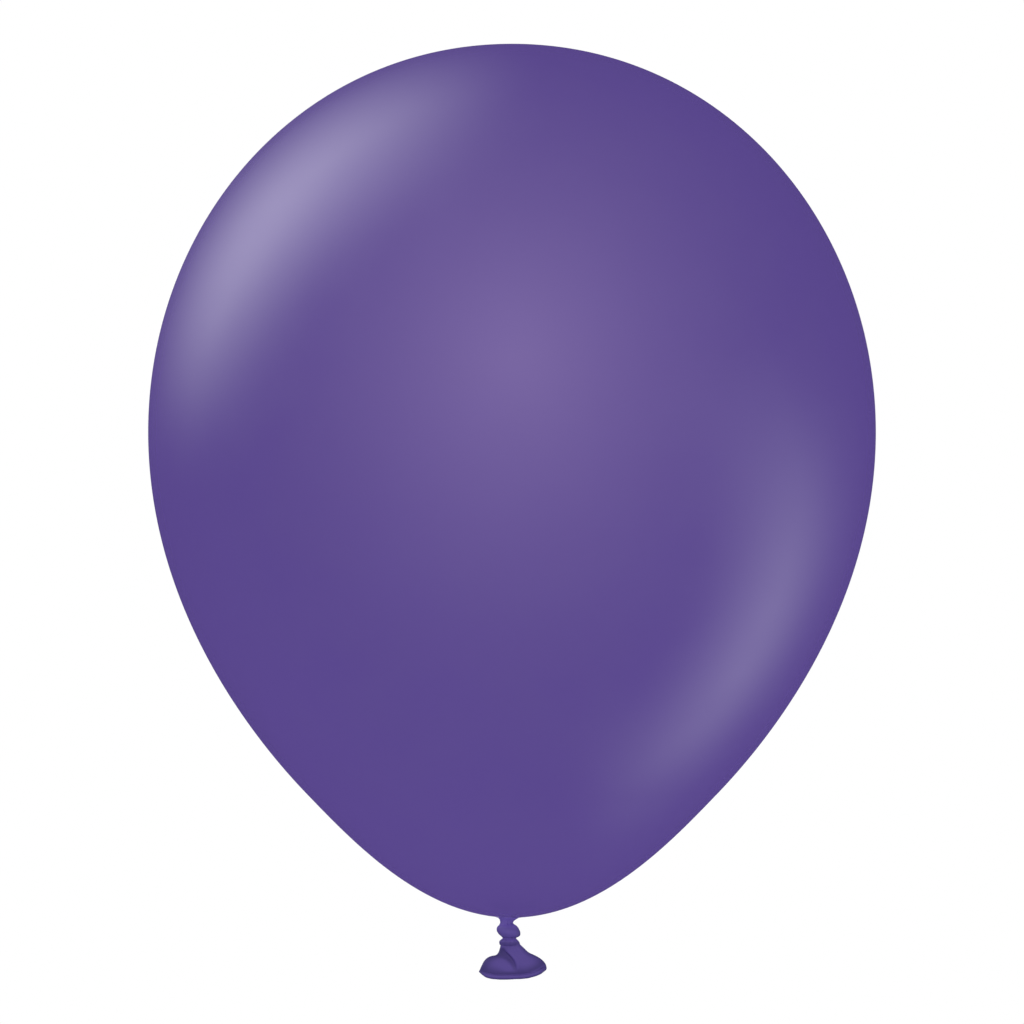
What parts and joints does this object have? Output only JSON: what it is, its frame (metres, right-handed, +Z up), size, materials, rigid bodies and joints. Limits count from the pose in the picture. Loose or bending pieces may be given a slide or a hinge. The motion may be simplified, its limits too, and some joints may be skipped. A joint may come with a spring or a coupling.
{
  "type": "latex balloon",
  "caption": "Inflated teardrop latex party balloon with a pinched neck, a wrapped knot and a flattened, flared tail that ends in a rolled lip.",
  "frame": {"origin": "middle of the pinched neck, between the bladder and the knot, where a ribbon is tied", "axes": "+Z up along the bladder's axis towards its crown, +X along the width of the flattened tail, -Y the face seen from the front"},
  "size_m": [0.3, 0.3, 0.3859],
  "materials": {
    "stretched_film": "gloss",
    "gathered_latex": "satin",
    "knotted_latex": "satin",
    "slack_latex": "satin",
    "lip_bead": "satin"
  },
  "bodies": {
    "bladder": {"bladder": "stretched_film"},
    "gather": {"neck_gather": "gathered_latex"},
    "neck": {"neck": "gathered_latex"},
    "knot": {"knot_core": "knotted_latex", "knot_loop": "knotted_latex", "knot_tuck": "knotted_latex"},
    "tail": {"tail_throat": "slack_latex", "tail_skirt": "slack_latex", "rolled_lip": "lip_bead"}
  },
  "joints": [
    {"name": "neck_twist", "type": "hinge", "parent": "bladder", "child": "gather", "pos_m": [0, 0, 0], "axis": [0, 0, 1], "range_deg": [-90, 90], "stiffness_Nm_per_rad": 0.0002, "deforming": ["neck_gather"]},
    {"name": "neck_sway", "type": "hinge", "parent": "gather", "child": "neck", "pos_m": [0, 0, 0], "axis": [0, 1, 0], "range_deg": [-30, 30], "stiffness_Nm_per_rad": 0.002, "deforming": ["neck"]},
    {"name": "neck_nod", "type": "hinge", "parent": "neck", "child": "knot", "pos_m": [0, 0, 0], "axis": [1, 0, 0], "range_deg": [-30, 30], "stiffness_Nm_per_rad": 0.002, "deforming": ["neck"]},
    {"name": "tail_flap", "type": "hinge", "parent": "knot", "child": "tail", "pos_m": [0.00195, 0, -0.0104], "axis": [1, 0, 0], "range_deg": [-50, 50], "stiffness_Nm_per_rad": 0.0005, "deforming": ["tail_throat"]}
  ]
}
